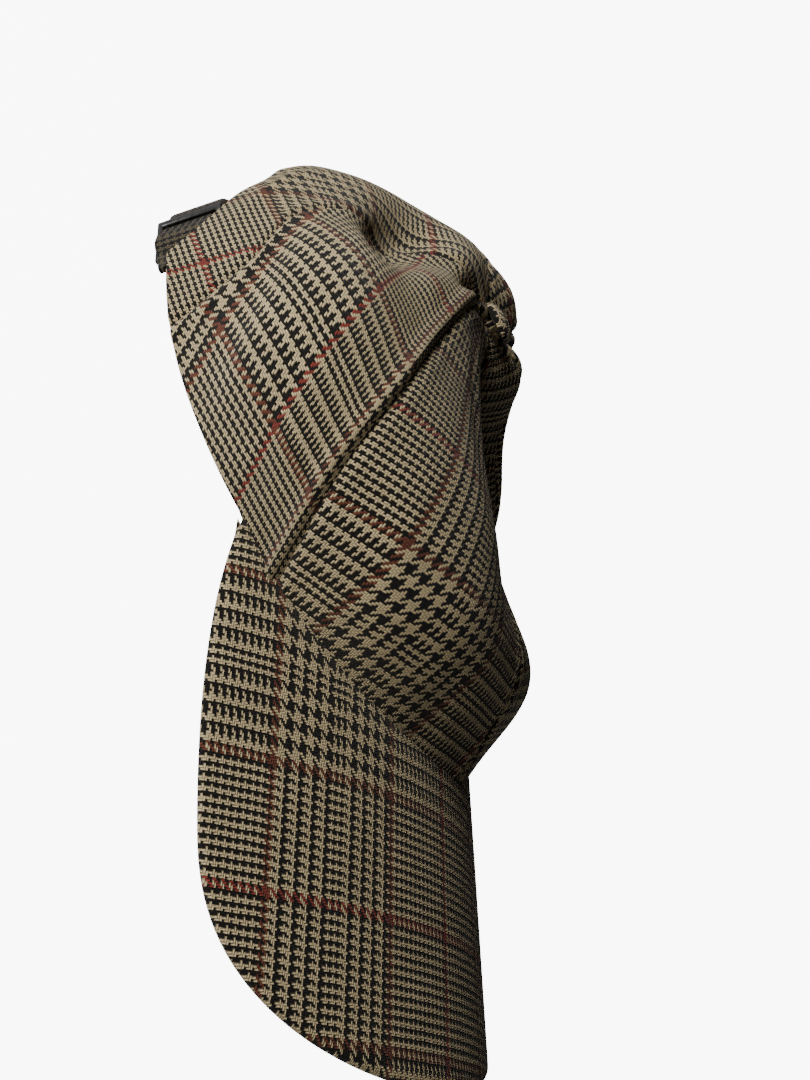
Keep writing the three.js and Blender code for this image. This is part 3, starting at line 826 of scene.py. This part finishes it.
# Back strap. Two lengths of the tweed, each folded to 15 mm. The short one is looped round the
# slider's outer bar, the long one is led through the slider and tucked under the crown.
STRAP_WIDTH = 15.0
STRAP_THICKNESS = 1.8
STRAP_FOOT = 2.3
TUCK = 4.2
DEEP_TUCK = 9.5
TUCK_CLIMB = 0.07
SLIDER_BARS = (-7.6, -1.2, 7.0)
SLIDER_BAR = 2.2
SLIDER_RAIL = 1.8
SLIDER_HEIGHT = 19.4
SLIDER_TURN = math.radians(70)
SLIDER_RIGHT = 56
SLIDER_BACK = 53.5
PASS = 2.2
STEPS_PER_STOP = 14
STRAP_ROWS = 20
STRAP_GRAIN = (44, 46)
STRAP_LINT = 0.1
STRAP_EDGE = 0.55


def upright(x, y, foot):
    return [(x, y, foot), (x, y, foot + STRAP_WIDTH)]


def tucked_stop(rib, lift, depth):
    rib, climb = np.array(float(rib)), np.array(TUCK_CLIMB)
    inside = crown(rib, climb) - directions(crown, rib, climb)[2] * depth
    x, y, _ = settle(inside) / MM
    return upright(x, y, settle(rim_point(rib))[2] / MM + lift)


def free_stop(right, back, foot):
    x, y, _ = settle(np.array([-right, back, RIBS[3]["rim_up"]])) / MM
    return upright(x, y, foot)


SLIDER_SEAT = free_stop(SLIDER_RIGHT, SLIDER_BACK, 0)[0]


def slider_stop(along, outward, foot=STRAP_FOOT):
    c = math.cos(SLIDER_TURN)
    s = math.sin(SLIDER_TURN)
    x = SLIDER_SEAT[0] + along * c - outward * s
    return upright(x, SLIDER_SEAT[1] + along * s + outward * c, foot)


def centripetal(points, t):
    points = np.array(points, float)
    points = np.concatenate([[2 * points[0] - points[1]], points, [2 * points[-1] - points[-2]]])
    spans = len(points) - 3
    k = np.clip(np.floor(t * spans).astype(int), 0, spans - 1)
    w = (t * spans - k)[:, None]
    p0, p1, p2, p3 = [points[k + j] for j in range(4)]
    pairs = ((p0, p1), (p1, p2), (p2, p3))
    d0, d1, d2 = [np.sqrt(np.linalg.norm(b - a, axis=-1, keepdims=True)) for a, b in pairs]
    m1 = ((p1 - p0) / d0 - (p2 - p0) / (d0 + d1) + (p2 - p1) / d1) * d1
    m2 = ((p2 - p1) / d1 - (p3 - p1) / (d1 + d2) + (p3 - p2) / d2) * d1
    return p1 + m1 * w + (3 * (p2 - p1) - 2 * m1 - m2) * w ** 2 + (2 * (p1 - p2) + m1 + m2) * w ** 3


# The places that each strap goes through. By the slider they are given along its bars, outward
# from it and above the table, and a length of strap passes a bar at PASS from its middle.
bend = SLIDER_BARS[0] + 0.7
SHORT_STRAP = [
    tucked_stop(4.1, 3, DEEP_TUCK),
    tucked_stop(4.3, -1, DEEP_TUCK),
    slider_stop(-17, -PASS - 1, 4),
    slider_stop(bend - 3.5, -PASS - 0.3, 2.8),
    slider_stop(bend, -PASS),
    slider_stop(bend + PASS * 0.75, -PASS * 0.7),
    slider_stop(bend + PASS, 0),
    slider_stop(bend + PASS * 0.75, PASS * 0.7),
    slider_stop(bend, PASS),
    slider_stop(-11.5, PASS, 2.8),
]
over = PASS + STRAP_THICKNESS + 0.4
right_bar, middle_bar, left_bar = SLIDER_BARS
LONG_STRAP = [
    tucked_stop(7.8, 1, TUCK),
    tucked_stop(7.62, -2, TUCK),
    free_stop(-62, 50, 3),
    free_stop(-38, 65, 0),
    free_stop(0, 74, 0),
    free_stop(34, 74, 0.8),
    slider_stop(14, -PASS - 1.5, 1.6),
    slider_stop(left_bar, -PASS),
    slider_stop(left_bar - 2.4, -PASS * 0.7),
    slider_stop(middle_bar + 2.2, PASS * 0.8),
    slider_stop(middle_bar, PASS + 0.2),
    slider_stop(middle_bar - 2.8, over - 0.5),
    slider_stop(right_bar, over + 0.2),
    slider_stop(-13, over, 3.2),
    tucked_stop(4.38, -5, TUCK),
]
# The straps wear the crown's tweed painted down to 0.15 of its brightness: painted shade.
strap_tweed = tweed("strap_tweed", 0.15, 0.25)


def round_off(piece, radius, steps, angle):
    edges = piece.modifiers.new("edges", "BEVEL")
    edges.width = radius * MM
    edges.segments = steps
    edges.limit_method = "ANGLE"
    edges.angle_limit = math.radians(angle)
    bpy.ops.object.modifier_apply(modifier="edges")


for name, stops in (("buckle_strap", SHORT_STRAP), ("tail_strap", LONG_STRAP)):
    steps = len(stops) * STEPS_PER_STOP

    def strap_place(across, upward, stops=stops):
        low = centripetal([stop[0] for stop in stops], (across + 1) / 2)
        high = centripetal([stop[1] for stop in stops], (across + 1) / 2)
        points = low + (high - low) * (upward[:, None] + 1) / 2
        points[:, 2] = np.maximum(points[:, 2], 0)
        return points * MM

    strap = gridded(name + "_cloth", steps, STRAP_ROWS, strap_place)
    mesh = strap.data
    corner_uv = corner_uvs(mesh, "cloth")
    line = centripetal([stop[0] for stop in stops], np.linspace(0, 1, steps + 1))
    along = run_lengths(line)[np.round(corner_uv[:, 0] * steps).astype(int)]
    grain = np.stack([corner_uv[:, 1] * STRAP_WIDTH, along], -1) + np.array(STRAP_GRAIN)
    mesh.uv_layers[0].data.foreach_set("uv", grain.reshape(-1))
    set_lint_and_shade(mesh, np.full(len(mesh.vertices), STRAP_LINT))
    thicken(strap, STRAP_THICKNESS, 0)
    round_off(strap, STRAP_EDGE, 3, 60)
    bpy.ops.object.shade_smooth_by_angle(angle=SMOOTH_ANGLE)
    strap.data.materials.append(strap_tweed)
    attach(strap, "root")
    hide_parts(name)


# Slider. A die-cast three-bar frame with rounded bars, plated in dark gunmetal with paler
# scuffs. It stands on its lower rail, held upright by the strap that goes through it.
SLIDER_THICKNESS = 1.8
SLIDER_EDGE = 0.62
SLOT_CUT = 8
SCUFF_SCALE = 700.0
GUNMETAL = (0.018, 0.018, 0.02, 1)
SCUFFED = (0.11, 0.108, 0.105, 1)


def block(x0, x1, z0, z1, depth):
    bpy.ops.object.select_all(action="DESELECT")
    middle = ((x0 + x1) / 2 * MM, 0, (z0 + z1) / 2 * MM)
    bpy.ops.mesh.primitive_cube_add(size=1, location=middle)
    made = bpy.context.object
    made.scale = ((x1 - x0) * MM, depth * MM, (z1 - z0) * MM)
    bpy.ops.object.transform_apply(location=True, rotation=True, scale=True)
    return made


half_bar = SLIDER_BAR / 2
slot_top = SLIDER_HEIGHT - SLIDER_RAIL
slots = []
for low, high in zip(SLIDER_BARS[:2], SLIDER_BARS[1:]):
    slots.append(block(low + half_bar, high - half_bar, SLIDER_RAIL, slot_top, SLOT_CUT))
slider = block(right_bar - half_bar, left_bar + half_bar, 0, SLIDER_HEIGHT, SLIDER_THICKNESS)
slider.name = "slider_metal"
for slot in slots:
    cut = slider.modifiers.new("slot", "BOOLEAN")
    cut.object = slot
    cut.operation = "DIFFERENCE"
    cut.solver = "EXACT"
    bpy.ops.object.modifier_apply(modifier="slot")
    bpy.data.objects.remove(slot)
round_off(slider, SLIDER_EDGE, 4, 40)
slider.rotation_euler = (0, 0, SLIDER_TURN)
slider.location = Vector(SLIDER_SEAT) * MM
bpy.ops.object.transform_apply(location=True, rotation=True, scale=True)
bpy.ops.object.shade_smooth_by_angle(angle=math.radians(40))

gunmetal = bpy.data.materials.new("gunmetal")
gunmetal.use_nodes = True
tree = gunmetal.node_tree
metal_shader = tree.nodes["Principled BSDF"]
metal_place = tree.nodes.new("ShaderNodeTexCoord")
scuffs = noise_node(tree, metal_place.outputs["Object"], SCUFF_SCALE, 4.0, 0.65)
metal_colour = mix_node(tree, scuffs, GUNMETAL, SCUFFED)
tree.links.new(metal_colour, metal_shader.inputs["Base Color"])
metal_shader.inputs["Metallic"].default_value = 0.9
worn_rough = math_node(tree, "MULTIPLY_ADD", scuffs, 0.3, 0.14)
tree.links.new(worn_rough, metal_shader.inputs["Roughness"])
slider.data.materials.append(gunmetal)
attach(slider, "root")
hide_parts("slider_buckle")


# Button. A low metal dome covered in the crown's tweed, where the six panels meet. Its shank
# goes down through the crown's middle.
BUTTON_RADIUS = 6.6
BUTTON_HEIGHT = 3.4
BUTTON_UNDERSIDE = 0.5
BUTTON_SEAT = Vector((0, 68.70, 78.45))
BUTTON_GRAIN = (12, 60)
BUTTON_LINT = 0.3
SHANK_RADIUS = 1.5
SHANK_LENGTH = 3.4
bpy.ops.object.select_all(action="DESELECT")
bpy.ops.mesh.primitive_cylinder_add(
    radius=SHANK_RADIUS * MM, depth=SHANK_LENGTH * MM, location=(0, 0, -SHANK_LENGTH / 2 * MM))
shank = bpy.context.object
bpy.ops.object.transform_apply(location=True)
bpy.ops.object.select_all(action="DESELECT")
bpy.ops.mesh.primitive_uv_sphere_add(segments=64, ring_count=32, radius=1)
button = bpy.context.object
button.name = "button_cloth"
for vertex in button.data.vertices:
    x, y, z = vertex.co
    rise = z * (BUTTON_HEIGHT if z > 0 else BUTTON_UNDERSIDE)
    vertex.co = Vector((x * BUTTON_RADIUS, y * BUTTON_RADIUS, rise)) * MM
shank.select_set(True)
bpy.ops.object.join()
mesh = button.data
mesh.uv_layers[0].name = "cloth"
for corner in mesh.loops:
    place = mesh.vertices[corner.vertex_index].co / MM
    grain = (place.x + BUTTON_GRAIN[0], place.y + BUTTON_GRAIN[1])
    mesh.uv_layers[0].data[corner.index].uv = grain
set_lint_and_shade(mesh, np.full(len(mesh.vertices), BUTTON_LINT))
button.location = BUTTON_SEAT * MM
button.rotation_euler = (-REST_PITCH, 0, 0)
bpy.ops.object.transform_apply(location=True, rotation=True, scale=True)
bpy.ops.object.shade_smooth_by_angle(angle=SMOOTH_ANGLE)
button.data.materials.append(crown_tweed)
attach(button, "root")
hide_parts("top_button")
